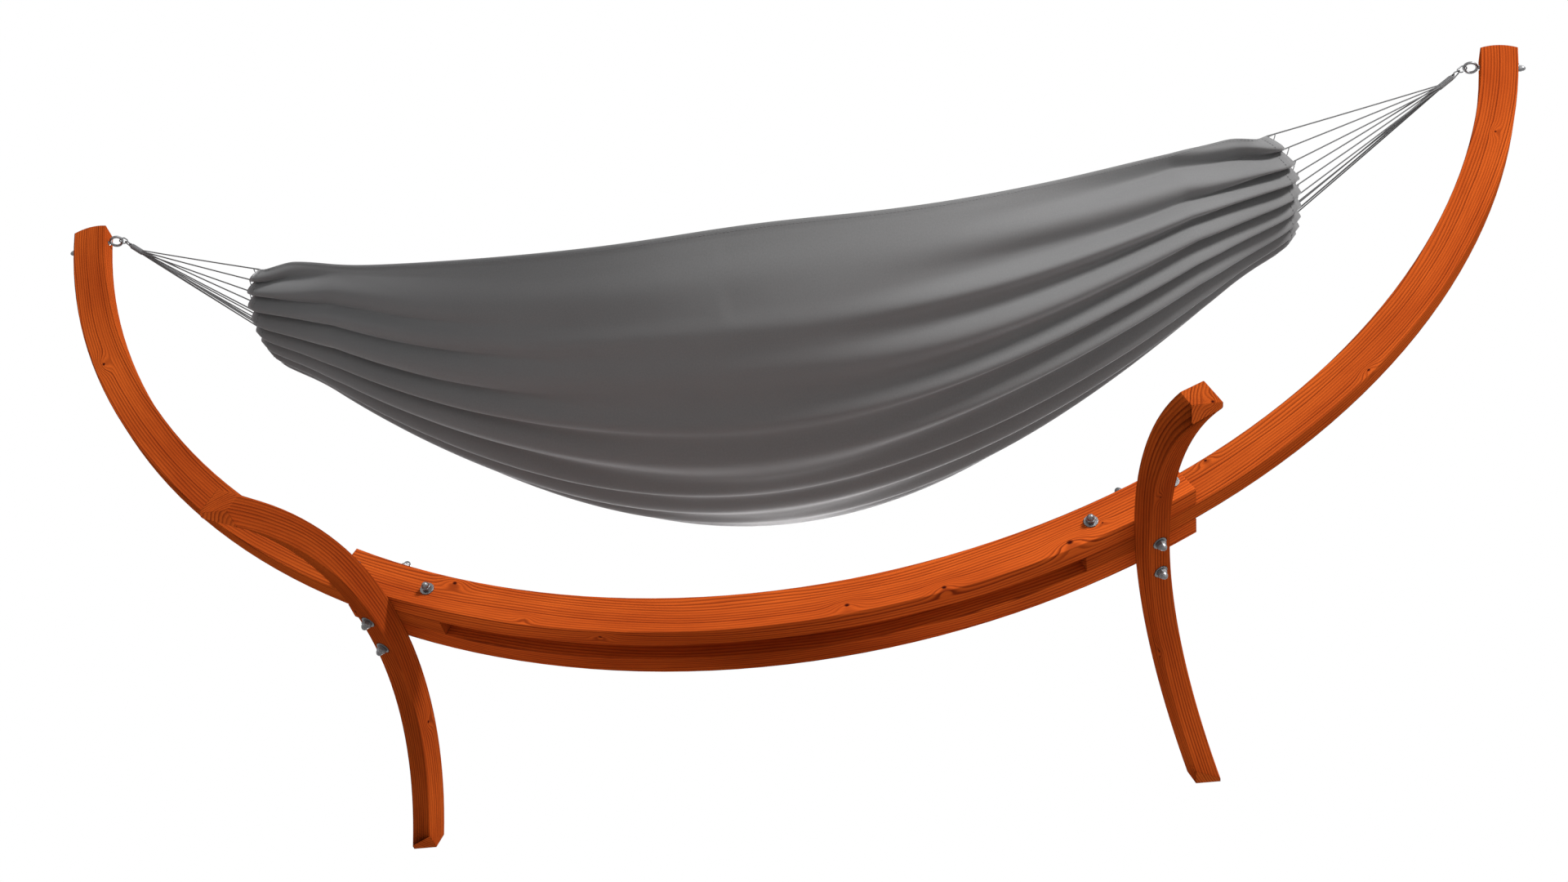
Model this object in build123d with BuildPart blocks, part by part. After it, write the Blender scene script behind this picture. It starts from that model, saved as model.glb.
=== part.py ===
"""Hammock on a bent timber stand.

Two arms and two beams of laminated timber make one long bow. Two arched legs cross under the bow and
carry it, and a cloth hammock hangs between eye bolts in the tops of the arms.
X runs along the bow, Y across it, Z up. The origin is on the ground under the middle of the bow.
"""
import os
from math import asin, cos, degrees, pi, radians, sin

from build123d import *

os.makedirs("parts", exist_ok=True)

# Timber
board_thickness = 45.0
board_edge_chamfer = 1.5
bow_depth = 80.0
bow_outer_radius = 1759.0
bow_ground_clearance = 27.0
arm_foot_angle = 21.0
arm_top_angle = 78.73
arm_top_rise = 9.0
beam_end_angle = 28.84
leg_angle = 25.08
leg_outer_radius = 1118.0
leg_depth = 54.0
leg_half_span = 593.0
leg_sweep_angle = 35.0
leg_seat_depth = 2.0

# Bolts, nuts and washers
clamp_angles = (22.1, 28.0)
bolt_radius = 5.0
bolt_end_gap = 0.5
bolt_end_chamfer = 1.5
nut_across_flats = 17.0
nut_height = 8.0
cap_radius = 8.0
cap_rise = 10.0
cap_steps = (0, 30, 55, 75)
fastener_sides = 12
washer_radius = 14.0
washer_thickness = 2.5
spot_face_radius = 15.0
hole_clearance = 0.25
thread_clearance = 0.05

# Eye bolts
eye_angle = 77.2
eye_ring_offset = 19.7
eye_ring_radius = 14.0
eye_bar_radius = 3.25
eye_bar_sides = 12
eye_shank_radius = 4.0
eye_neck_radius = 6.0
eye_neck_tip_radius = 2.8
eye_washer_radius = 11.5
eye_nut_across_flats = 13.0
eye_nut_height = 6.5
eye_cap_radius = 6.2
eye_cap_rise = 8.5

# Hanging hardware, measured along the pull from the bar of the eye bolt
pull_angle = 40.6
wire_radius = 1.5
wire_sides = 6
link_gap = 0.3
link_half_width = 5.8
delta_point = 8.0
delta_base = 37.0
delta_half_width = 10.0
delta_corner_radius = 3.5
seat_gap = 0.05
sleeve_start = 33.5
sleeve_neck_end = 45.0
sleeve_end = 88.0
sleeve_neck_radius = 5.0
sleeve_radius = 7.0

# Cords and cloth
cord_count = 11
cord_radius = 1.35
cord_spread = 5.0
cord_row_gap = 2.6
cord_rows = 3
cord_sides = 8
cord_overlength = 12.0
cloth_half_length = 1150.0
cloth_thickness = 4.0
cloth_station_count = 15
pleat_count = 10
strips_per_pleat = 2
middle_half_width = 450.0
middle_rim_height = 687.0
middle_bottom_height = 482.0
hem_half_width = 150.0
hem_rim_height = 1093.0
hem_bottom_height = 1036.0
width_curl = -0.61
rim_curl = -0.44
bottom_curl = -0.02
middle_fold_height = 16.0
hem_fold_height = 38.0
fold_inset = 0.95
hem_flare = 0.45
through_fold_share = 0.75
fade_start = 0.6
fade_length = 0.45
fold_shift = 0.4
shift_length = 0.2
full_fold_station = 0.75

# Sizes that follow from the ones above
half_board = board_thickness / 2
bow_inner_radius = bow_outer_radius - bow_depth
bow_centre_height = bow_outer_radius + bow_ground_clearance
bow_middle_radius = bow_outer_radius - bow_depth / 2
leg_inner_radius = leg_outer_radius - leg_depth
leg_grip = leg_depth - leg_seat_depth
bow_width = 3 * board_thickness
strip_count = pleat_count * strips_per_pleat
bolt_hole_radius = bolt_radius + hole_clearance
eye_hole_radius = eye_shank_radius + hole_clearance


def bow_point(radius, angle):
    """X and Z of a point of the bow, its angle in degrees from straight down, positive to the right."""
    return (radius * sin(radians(angle)), bow_centre_height - radius * cos(radians(angle)))


def outward(angle):
    """Unit direction out from the centre of the bow."""
    return Vector(sin(radians(angle)), 0, -cos(radians(angle)))


def along_bow(angle):
    """Unit direction up the bow, at right angles to outward."""
    return Vector(cos(radians(angle)), 0, sin(radians(angle)))


def radial_plane(radius, angle, offset_y=0.0):
    """A plane that faces out of the bow, at a radius, an angle and a distance across the bow."""
    x, z = bow_point(radius, angle)
    return Plane(origin=(x, offset_y, z), x_dir=(0, 1, 0), z_dir=outward(angle))


def clamp_plane(angle):
    """A plane on the front face of the bow where a clamp bolt comes out."""
    x, z = bow_point(bow_middle_radius, angle)
    return Plane(origin=(x, -bow_width / 2, z), x_dir=(1, 0, 0), z_dir=(0, -1, 0))


def sagitta(chord_half, radius):
    """Depth of an arc under its chord."""
    return radius * (1 - cos(asin(chord_half / radius)))


def save(piece, name):
    """Label a finished piece and write it under the same name."""
    piece.part.label = name
    export_step(piece.part, f"parts/{name}.step")


def save_left_copy(piece, name):
    """Write the mirror image of a right-hand piece."""
    with BuildPart() as left_piece:
        mirror(piece.part, about=Plane.YZ)
    save(left_piece, name)


def save_pair(piece, name):
    """Write a right-hand piece and its mirror image together."""
    with BuildPart() as pair:
        add(piece.part)
        mirror(piece.part, about=Plane.YZ)
    save(pair, name)


# Arms: one thickness of timber, from inside the beams to a rounded top
arm_middle_angle = (arm_foot_angle + arm_top_angle) / 2
arm_top_crown = arm_top_angle + degrees(arm_top_rise / bow_middle_radius)
with BuildPart() as right_arm:
    with BuildSketch(Plane.XZ):
        with BuildLine():
            lower_edge = ThreePointArc(
                bow_point(bow_outer_radius, arm_foot_angle),
                bow_point(bow_outer_radius, arm_middle_angle),
                bow_point(bow_outer_radius, arm_top_angle),
            )
            ThreePointArc(
                lower_edge @ 1,
                bow_point(bow_middle_radius, arm_top_crown),
                bow_point(bow_inner_radius, arm_top_angle),
            )
            upper_edge = ThreePointArc(
                bow_point(bow_inner_radius, arm_top_angle),
                bow_point(bow_inner_radius, arm_middle_angle),
                bow_point(bow_inner_radius, arm_foot_angle),
            )
            Line(upper_edge @ 1, lower_edge @ 0)
        make_face()
    extrude(amount=half_board, both=True)
    chamfer(right_arm.faces().filter_by(Axis.Y).edges(), board_edge_chamfer)
    with BuildSketch(Plane.XZ):
        with Locations([bow_point(bow_middle_radius, angle) for angle in clamp_angles]):
            Circle(bolt_hole_radius)
    extrude(amount=board_thickness, both=True, mode=Mode.SUBTRACT)
    with BuildSketch(radial_plane(bow_middle_radius, eye_angle)):
        Circle(eye_hole_radius)
    extrude(amount=bow_depth, both=True, mode=Mode.SUBTRACT)
save(right_arm, "right_arm")
save_left_copy(right_arm, "left_arm")

# Beams: one on each side of the arms, with the arms' feet clamped between their ends
with BuildPart() as front_beam:
    with BuildSketch(Plane.XZ.offset(half_board)):
        with BuildLine():
            lower_edge = ThreePointArc(
                bow_point(bow_outer_radius, -beam_end_angle),
                bow_point(bow_outer_radius, 0),
                bow_point(bow_outer_radius, beam_end_angle),
            )
            upper_edge = ThreePointArc(
                bow_point(bow_inner_radius, beam_end_angle),
                bow_point(bow_inner_radius, 0),
                bow_point(bow_inner_radius, -beam_end_angle),
            )
            Line(lower_edge @ 1, upper_edge @ 0)
            Line(upper_edge @ 1, lower_edge @ 0)
        make_face()
    extrude(amount=board_thickness)
    chamfer(front_beam.faces().filter_by(Axis.Y).edges(), board_edge_chamfer)
    with BuildSketch(Plane.XZ):
        for side in (-1, 1):
            with Locations([bow_point(bow_middle_radius, side * angle) for angle in clamp_angles]):
                Circle(bolt_hole_radius)
    extrude(amount=bow_width, mode=Mode.SUBTRACT)
    for side in (-1, 1):
        with BuildSketch(radial_plane(bow_middle_radius, side * leg_angle, -board_thickness)):
            Circle(bolt_hole_radius)
        extrude(amount=bow_depth, both=True, mode=Mode.SUBTRACT)
save(front_beam, "front_beam")
with BuildPart() as back_beam:
    mirror(front_beam.part, about=Plane.XZ)
save(back_beam, "back_beam")

# Legs: an arch across the bow, square to it, with a flat seat under the beams and feet cut to the ground
leg_origin_x, leg_origin_z = bow_point(bow_outer_radius, leg_angle)
leg_plane = Plane(origin=(leg_origin_x, 0, leg_origin_z), x_dir=(0, 1, 0), z_dir=along_bow(leg_angle))
leg_arch_centre = (0, leg_seat_depth - leg_outer_radius)
leg_sweep_start = 90 - leg_sweep_angle
with BuildPart() as right_leg:
    with BuildSketch(leg_plane):
        with BuildLine():
            upper_edge = CenterArc(leg_arch_centre, leg_outer_radius, leg_sweep_start, 2 * leg_sweep_angle)
            lower_edge = CenterArc(leg_arch_centre, leg_inner_radius, leg_sweep_start, 2 * leg_sweep_angle)
            Line(upper_edge @ 0, lower_edge @ 0)
            Line(upper_edge @ 1, lower_edge @ 1)
        make_face()
    extrude(amount=half_board, both=True)
    arch_sides = right_leg.faces().filter_by(lambda face: abs(face.normal_at().dot(leg_plane.z_dir)) > 0.99)
    chamfer(arch_sides.edges().filter_by(GeomType.CIRCLE), board_edge_chamfer)
    with BuildSketch(leg_plane):
        Rectangle(2 * bow_width, bow_depth, align=(Align.CENTER, Align.MIN))
    extrude(amount=board_thickness, both=True, mode=Mode.SUBTRACT)
    for offset_y in (-board_thickness, board_thickness):
        with BuildSketch(radial_plane(bow_outer_radius + leg_grip, leg_angle, offset_y)):
            Circle(spot_face_radius)
        extrude(amount=leg_depth, mode=Mode.SUBTRACT)
        with BuildSketch(radial_plane(bow_outer_radius, leg_angle, offset_y)):
            Circle(bolt_hole_radius)
        extrude(amount=bow_depth, both=True, mode=Mode.SUBTRACT)
    Box(
        2 * bow_outer_radius, 2 * leg_half_span, bow_outer_radius,
        align=(Align.CENTER, Align.CENTER, Align.MIN), mode=Mode.INTERSECT,
    )
save(right_leg, "right_leg")
save_left_copy(right_leg, "left_leg")


def far_face(piece, plane):
    """The face of the last operation that is furthest along a plane's direction."""
    return piece.faces(Select.LAST).sort_by(Axis(plane.origin, plane.z_dir))[-1]


def washer_group(planes, radius, hole_radius):
    """Flat washers that stand on planes."""
    with BuildPart() as washers:
        for plane in planes:
            with BuildSketch(plane):
                RegularPolygon(radius, fastener_sides)
                RegularPolygon(hole_radius, fastener_sides, major_radius=False, mode=Mode.SUBTRACT)
            extrude(amount=washer_thickness)
    return washers


def cap_sections(plane, radius, rise):
    """Sections of a rounded cap that stands on a plane, smaller and smaller to its flat tip."""
    sections = []
    for step in cap_steps:
        with BuildSketch(plane.offset(rise * sin(radians(step)))) as section:
            RegularPolygon(radius * cos(radians(step)), fastener_sides)
        sections.append(section.sketch)
    return sections


def cap_nut_group(planes, across_flats, height, thread_radius, radius, rise):
    """Hexagon nuts that are closed by a rounded cap, each on top of a washer."""
    with BuildPart() as nuts:
        for plane in planes:
            with BuildSketch(plane.offset(washer_thickness)):
                RegularPolygon(across_flats / 2, 6, major_radius=False)
                bore_radius = thread_radius + thread_clearance
                RegularPolygon(bore_radius, fastener_sides, major_radius=False, mode=Mode.SUBTRACT)
            extrude(amount=height)
            loft(sections=cap_sections(plane.offset(washer_thickness + height), radius, rise), ruled=True)
    return nuts


def cap_bolt_group(planes, length):
    """Bolts that stand on planes at the underside of a hexagon head with a rounded cap."""
    with BuildPart() as bolts:
        for plane in planes:
            with BuildSketch(plane):
                RegularPolygon(bolt_radius, fastener_sides)
            extrude(amount=length)
            with BuildSketch(plane):
                RegularPolygon(nut_across_flats / 2, 6, major_radius=False)
            extrude(amount=-nut_height)
            cap_plane = Plane(plane.offset(-nut_height).origin, x_dir=plane.x_dir, z_dir=-plane.z_dir)
            loft(sections=cap_sections(cap_plane, cap_radius, cap_rise), ruled=True)
    return bolts


# Clamp bolts: through beam, arm and beam, with a washer under the head and one under the cap nut
bolt_tail_length = washer_thickness + nut_height - bolt_end_gap
clamp_bolt_length = washer_thickness + bow_width + bolt_tail_length
clamp_nut_planes = [clamp_plane(side * angle) for side in (-1, 1) for angle in clamp_angles]
clamp_head_planes = [plane.offset(-bow_width - washer_thickness) for plane in clamp_nut_planes]
save(cap_bolt_group(clamp_head_planes, clamp_bolt_length), "clamp_bolts")
save(washer_group(clamp_head_planes, washer_radius, bolt_hole_radius), "clamp_head_washers")
save(washer_group(clamp_nut_planes, washer_radius, bolt_hole_radius), "clamp_nut_washers")
clamp_nuts = cap_nut_group(clamp_nut_planes, nut_across_flats, nut_height, bolt_radius, cap_radius, cap_rise)
save(clamp_nuts, "clamp_nuts")

# Leg bolts: a head and washer on top of each beam, and a cap nut in the spot face under the leg
leg_nut_planes = [
    radial_plane(bow_outer_radius + leg_grip, side * leg_angle, offset_y)
    for side in (-1, 1)
    for offset_y in (-board_thickness, board_thickness)
]
leg_bolt_grip = leg_grip + bow_depth + sagitta(washer_radius, bow_inner_radius)
leg_head_planes = [plane.offset(-leg_bolt_grip - washer_thickness) for plane in leg_nut_planes]
save(cap_bolt_group(leg_head_planes, washer_thickness + leg_bolt_grip + bolt_tail_length), "leg_bolts")
save(washer_group(leg_head_planes, washer_radius, bolt_hole_radius), "leg_head_washers")
save(washer_group(leg_nut_planes, washer_radius, bolt_hole_radius), "leg_washers")
leg_nuts = cap_nut_group(leg_nut_planes, nut_across_flats, nut_height, bolt_radius, cap_radius, cap_rise)
save(leg_nuts, "leg_nuts")

# Eye bolts: a ring on the inner face of each arm, its shank through the arm to a cap nut outside
eye_nut_plane = radial_plane(bow_outer_radius, eye_angle)
eye_ring_plane = radial_plane(bow_inner_radius - eye_ring_offset, eye_angle)
eye_neck_plane = eye_ring_plane.offset(eye_ring_radius)
eye_neck_length = eye_ring_offset - eye_ring_radius - sagitta(eye_neck_radius, bow_inner_radius)
eye_shank_length = bow_depth + washer_thickness + eye_nut_height - bolt_end_gap
ring_plane = Plane(eye_ring_plane.origin, x_dir=(0, 1, 0), z_dir=along_bow(eye_angle))
with BuildPart() as right_eye_bolt:
    with BuildSketch(eye_neck_plane.offset(eye_neck_length)):
        Circle(eye_shank_radius)
    extrude(amount=eye_shank_length + eye_ring_offset - eye_ring_radius - eye_neck_length)
    chamfer(far_face(right_eye_bolt, eye_nut_plane).edges(), bolt_end_chamfer)
    with BuildSketch(eye_neck_plane):
        Circle(eye_neck_tip_radius)
    with BuildSketch(eye_neck_plane.offset(eye_neck_length)):
        Circle(eye_neck_radius)
    loft()
    with BuildSketch(Plane(eye_neck_plane.origin, x_dir=ring_plane.z_dir, z_dir=ring_plane.x_dir)):
        RegularPolygon(eye_bar_radius, eye_bar_sides)
    revolve(axis=Axis(ring_plane.origin, ring_plane.z_dir))
save_pair(right_eye_bolt, "eye_bolts")

eye_nut_planes = [radial_plane(bow_outer_radius, side * eye_angle) for side in (-1, 1)]
save(washer_group(eye_nut_planes, eye_washer_radius, eye_hole_radius), "eye_washers")
eye_nuts = cap_nut_group(
    eye_nut_planes, eye_nut_across_flats, eye_nut_height, eye_shank_radius, eye_cap_radius, eye_cap_rise,
)
save(eye_nuts, "eye_nuts")

# Hanging hardware: everything lies along the pull, a line that runs down and in from the ring's inner bar
bar_x, bar_z = bow_point(bow_inner_radius - eye_ring_offset - eye_ring_radius, eye_angle)
pull = Vector(-cos(radians(pull_angle)), 0, -sin(radians(pull_angle)))
pull_plane = Plane(origin=(bar_x, 0, bar_z), x_dir=(0, 1, 0), z_dir=pull)
link_plane = Plane(origin=(bar_x, 0, bar_z), x_dir=pull, z_dir=(0, 1, 0))
delta_plane = Plane(origin=(bar_x, 0, bar_z), x_dir=pull, z_dir=pull_plane.y_dir)


def wire_loop(path, bend_axis):
    """A closed loop of wire: a run along each line of a path and a turn round each of its arcs."""
    with BuildPart() as loop:
        for edge in path.edges():
            with BuildSketch(Plane(origin=edge @ 0, x_dir=bend_axis, z_dir=edge % 0)):
                RegularPolygon(wire_radius, wire_sides)
            if edge.geom_type == GeomType.LINE:
                extrude(amount=edge.length)
            else:
                turn_axis = (edge @ 0 - edge.arc_center).cross(edge % 0)
                turn = degrees(edge.length / edge.radius)
                revolve(axis=Axis(edge.arc_center, turn_axis), revolution_arc=turn)
    return loop


# Delta ring, a triangle of wire with a rounded tip where its sides would meet in a point
side_length = ((delta_base - delta_point) ** 2 + delta_half_width**2) ** 0.5
delta_tip = delta_point + delta_corner_radius * (side_length / delta_half_width - 1)
with BuildLine(delta_plane) as delta_path:
    FilletPolyline(
        (delta_base, -delta_half_width),
        (delta_base, delta_half_width),
        (delta_point, 0),
        radius=delta_corner_radius,
        close=True,
    )
right_delta_ring = wire_loop(delta_path.wire(), delta_plane.z_dir)
save_pair(right_delta_ring, "delta_rings")

# Oval link, one end through the ring and the other round the tip of the delta ring
link_reach = delta_tip + 2 * wire_radius + seat_gap
link_start = link_half_width - (eye_bar_radius + link_gap + wire_radius)
link_end = link_reach - link_half_width
with BuildLine(link_plane) as link_path:
    outer_side = Line((link_start, link_half_width), (link_end, link_half_width))
    far_bend = ThreePointArc(outer_side @ 1, (link_reach, 0), (link_end, -link_half_width))
    inner_side = Line(far_bend @ 1, (link_start, -link_half_width))
    ThreePointArc(inner_side @ 1, (link_start - link_half_width, 0), outer_side @ 0)
right_link = wire_loop(link_path.wire(), link_plane.z_dir)
save_pair(right_link, "links")

# Whipped sleeve, its neck closed round the base of the delta ring
with BuildPart() as right_sleeve:
    with BuildSketch(pull_plane.offset(sleeve_start)):
        RegularPolygon(sleeve_neck_radius, fastener_sides)
    extrude(amount=sleeve_neck_end - sleeve_start)
    with BuildSketch(pull_plane.offset(sleeve_neck_end)):
        RegularPolygon(sleeve_radius, fastener_sides)
    extrude(amount=sleeve_end - sleeve_neck_end)
    with BuildSketch(link_plane):
        with Locations((delta_base, 0)):
            Circle(wire_radius + seat_gap)
    extrude(amount=sleeve_radius, both=True, mode=Mode.SUBTRACT)
save_pair(right_sleeve, "sleeves")


# Cloth: a trough that is wide and low in the middle, with pleats that open out from the gathered hems
def blend(middle_value, hem_value, curl, station):
    """A size of the trough at a station from 0 in the middle to 1 at a hem."""
    return middle_value + (hem_value - middle_value) * ((1 - curl) * station**2 + curl * station**4)


def trough_arc(station):
    """Bottom height, radius and half angle of the trough's outer arc at a station."""
    half_width = blend(middle_half_width, hem_half_width, width_curl, station)
    rim = blend(middle_rim_height, hem_rim_height, rim_curl, station)
    bottom = blend(middle_bottom_height, hem_bottom_height, bottom_curl, station)
    depth = rim - bottom
    radius = (half_width**2 + depth**2) / (2 * depth)
    return bottom, radius, asin(half_width / radius)


def arc_point(bottom, radius, inset, angle):
    """Y and Z of a point of a trough section, at a distance inside its outer arc."""
    return ((radius - inset) * sin(angle), bottom + radius - (radius - inset) * cos(angle))


def fold_share(station, across):
    """How much of a fold is left at a place: all of it at the hems, and less in the middle of the front."""
    through = through_fold_share * max(sin(pi * (across - 0.25) / 0.7), 0)
    fade = max(fade_start - 1.5 * across, 0)
    ramp = min(max((station - fade) / fade_length, 0), 1)
    return through + (1 - through) * ramp


def fold_depth(station, across):
    """Distance of the cloth inside the trough's outer arc: least on a crest, most in a valley."""
    reach = abs(station)
    shift = fold_shift * min((1 - reach) / shift_length, 1)
    swell = 0.5 - 0.5 * cos(2 * pi * (pleat_count * across - shift))
    growth = min(reach / full_fold_station, 1)
    height = middle_fold_height + (hem_fold_height - middle_fold_height) * growth
    inset = fold_inset - hem_flare * reach**12
    return height * fold_share(reach, across) * (inset - swell)


def cloth_row(station, inset):
    """Points across one side of the cloth at a station, one on each crest and in each valley."""
    bottom, radius, half_angle = trough_arc(abs(station))
    points = []
    for index in range(strip_count + 1):
        across = index / strip_count
        y, z = arc_point(bottom, radius, fold_depth(station, across) + inset, half_angle * (2 * across - 1))
        points.append(Vector(station * cloth_half_length, y, z))
    return points


def facets(first_row, second_row):
    """Flat triangles between two rows of points."""
    faces = []
    for a, b, c, d in zip(first_row, first_row[1:], second_row[1:], second_row):
        faces.append(Face(Wire.make_polygon([a, b, c])))
        faces.append(Face(Wire.make_polygon([a, c, d])))
    return faces


cloth_stations = [2 * index / (cloth_station_count - 1) - 1 for index in range(cloth_station_count)]
under_rows = [cloth_row(station, 0) for station in cloth_stations]
inside_rows = [cloth_row(station, cloth_thickness) for station in cloth_stations]
cloth_faces = []
for rows in (under_rows, inside_rows):
    for first_row, second_row in zip(rows, rows[1:]):
        cloth_faces += facets(first_row, second_row)
for end in (0, -1):
    cloth_faces += facets(under_rows[end], inside_rows[end])
    cloth_faces += facets([row[end] for row in under_rows], [row[end] for row in inside_rows])
with BuildPart() as cloth:
    add(Solid(Shell(cloth_faces)))
save(cloth, "cloth")

# Cords: a fan of straight cords from the end of the sleeve to the valleys of the hem
sleeve_end_plane = pull_plane.offset(sleeve_end)
hem_plane = Plane((cloth_half_length, 0, 0), x_dir=(0, 1, 0), z_dir=(1, 0, 0))
hem_bottom, hem_radius, hem_half_angle = trough_arc(1)
with BuildPart() as right_cords:
    for index in range(cord_count):
        turn = 2 * index / (cord_count - 1) - 1
        row = index % cord_rows - (cord_rows - 1) / 2
        start = sleeve_end_plane.from_local_coords(Vector(turn * cord_spread, row * cord_row_gap, 0))
        hem_angle = turn * hem_half_angle * (1 - cord_radius / hem_half_width)
        hem_depth = fold_depth(1, index / (cord_count - 1)) + cloth_thickness / 2
        hem_y, hem_z = arc_point(hem_bottom, hem_radius, hem_depth, hem_angle)
        run = Vector(cloth_half_length, hem_y, hem_z) - start
        cord_start = start - run.normalized() * cord_overlength
        with BuildSketch(Plane(cord_start, z_dir=run)):
            RegularPolygon(cord_radius, cord_sides)
        extrude(amount=run.length + 2 * cord_overlength)
    split(bisect_by=sleeve_end_plane, keep=Keep.TOP)
    split(bisect_by=hem_plane, keep=Keep.TOP)
save(right_cords, "right_cords")
save_left_copy(right_cords, "left_cords")
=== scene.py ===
# %% [markdown]
# # A hammock on a bent timber stand
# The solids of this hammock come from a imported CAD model: two arms and two beams of bent timber, two
# arched legs, their bolts, and plain stand-ins for everything soft. This lesson dresses them. Timber and
# bolts keep their solids and get finishes; cloth, cords, bindings, links and rings are made here as what
# they are. Everything is in metres, with X along the bow, Y to the back and Z up.

# %% Load the frame
import math
import bpy
import numpy as np
from mathutils import Matrix, Vector
from mathutils.geometry import tessellate_polygon


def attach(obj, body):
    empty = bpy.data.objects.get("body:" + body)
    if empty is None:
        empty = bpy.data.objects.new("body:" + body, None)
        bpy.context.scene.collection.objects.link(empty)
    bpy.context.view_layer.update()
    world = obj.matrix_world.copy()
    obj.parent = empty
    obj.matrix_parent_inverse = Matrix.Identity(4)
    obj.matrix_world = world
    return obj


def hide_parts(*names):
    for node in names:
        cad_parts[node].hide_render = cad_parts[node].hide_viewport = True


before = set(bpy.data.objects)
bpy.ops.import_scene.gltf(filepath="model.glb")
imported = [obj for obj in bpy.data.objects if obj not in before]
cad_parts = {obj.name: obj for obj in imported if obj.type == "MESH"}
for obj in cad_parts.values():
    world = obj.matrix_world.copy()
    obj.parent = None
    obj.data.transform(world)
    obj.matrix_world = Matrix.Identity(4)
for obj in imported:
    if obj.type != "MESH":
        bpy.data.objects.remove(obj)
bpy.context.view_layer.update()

# %% [markdown]
# ## The camera
# The picture was taken from low down in front, looking up, so that the underside of the hammock shows.
# A camera can be aimed by eye, but here its place, heading and climb are written as numbers that were
# solved from the straight and round edges of the stand. Building the three axes of the camera and
# writing them as a matrix avoids any trial and error with rotations.

# %% Place the camera
camera_place = Vector((0.55315, -2.96313, -2.03843))
heading, climb, roll = -0.16779, 0.70792, 0.00101
look = Vector((
    math.sin(heading) * math.cos(climb),
    math.cos(heading) * math.cos(climb),
    math.sin(climb),
))
level = Vector((math.cos(heading), -math.sin(heading), 0))
rise = level.cross(look)
camera_right = level * math.cos(roll) + rise * math.sin(roll)
camera_up = camera_right.cross(look)
camera_data = bpy.data.cameras.new("photo_camera")
camera_data.sensor_fit = "HORIZONTAL"
camera_data.sensor_width = 36
camera_data.lens = 44.163
camera_data.clip_start, camera_data.clip_end = 0.05, 200
camera = bpy.data.objects.new("photo_camera", camera_data)
camera.matrix_world = Matrix((
    (camera_right.x, camera_up.x, -look.x, camera_place.x),
    (camera_right.y, camera_up.y, -look.y, camera_place.y),
    (camera_right.z, camera_up.z, -look.z, camera_place.z),
    (0, 0, 0, 1),
))
bpy.context.scene.collection.objects.link(camera)
bpy.context.scene.camera = camera
print("camera looks along", tuple(round(x, 3) for x in look))

# %% [markdown]
# ## Helpers for node trees
# Every finish is a small tree of shader nodes. Written out in full, each node takes several lines, so a
# few helpers keep the trees readable. They start a material, add one node and fill its sockets, or add
# the nodes that come up again and again: a sum, a sum of vectors, a mix of two colours and a noise.

# %% Node helpers
def start_material(name):
    material = bpy.data.materials.new(name)
    material.use_nodes = True
    material.node_tree.nodes.clear()
    return material, material.node_tree


def fill_socket(tree, socket, value):
    if isinstance(value, bpy.types.NodeSocket):
        tree.links.new(value, socket)
    else:
        socket.default_value = value


def add_node(tree, kind, sockets=None, **settings):
    node = tree.nodes.new(kind)
    for key, value in settings.items():
        setattr(node, key, value)
    for key, value in (sockets or {}).items():
        fill_socket(tree, node.inputs[key], value)
    return node


def calc(tree, operation, *values, clamp=False):
    sockets = dict(enumerate(values))
    return add_node(tree, "ShaderNodeMath", sockets, operation=operation, use_clamp=clamp).outputs[0]


def vector_calc(tree, operation, *values):
    node = add_node(tree, "ShaderNodeVectorMath", dict(enumerate(values)), operation=operation)
    return node.outputs["Value" if operation in ("LENGTH", "DOT_PRODUCT") else "Vector"]


def mix_colour(tree, share, first, second):
    node = add_node(tree, "ShaderNodeMix", data_type="RGBA")
    factor_input, first_colour_input, second_colour_input, colour_output = 0, 6, 7, 2
    fill_socket(tree, node.inputs[factor_input], share)
    fill_socket(tree, node.inputs[first_colour_input], first)
    fill_socket(tree, node.inputs[second_colour_input], second)
    return node.outputs[colour_output]


def noise(tree, vector, scale, detail=2.0, roughness=0.5):
    sockets = {"Vector": vector, "Scale": scale, "Detail": detail, "Roughness": roughness}
    return add_node(tree, "ShaderNodeTexNoise", sockets, noise_dimensions="3D").outputs["Fac"]


print("helpers for node trees are ready")

# %% [markdown]
# A finish ends in one shader, with a bump node for what is too fine to model. Real edges are never quite
# sharp. Rounding every solid would take many faces, so a bevel node turns the shading round the corner
# without touching the solid.

# %% Ends of a finish
def finish_material(tree, surface, height, strength, depth):
    shader = add_node(tree, "ShaderNodeBsdfPrincipled", surface)
    bump_sockets = {"Strength": strength, "Distance": depth, "Height": height}
    relief = add_node(tree, "ShaderNodeBump", bump_sockets)
    tree.links.new(relief.outputs["Normal"], shader.inputs["Normal"])
    add_node(tree, "ShaderNodeOutputMaterial", {"Surface": shader.outputs[0]})
    return relief


def ease_edges(tree, relief, radius):
    eased = add_node(tree, "ShaderNodeBevel", {"Radius": radius}, samples=6)
    tree.links.new(eased.outputs[0], relief.inputs["Normal"])


print("helpers for shaders and eased edges are ready")

# %% [markdown]
# ## The studio
# The object stands on a plain pale floor. The photo camera sits below the floor, so the floor is clear
# when it is seen from its back and solid from above, and it keeps the shadow for every other view.
# Further out it fades into the white of the world, so no horizon shows.

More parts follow.
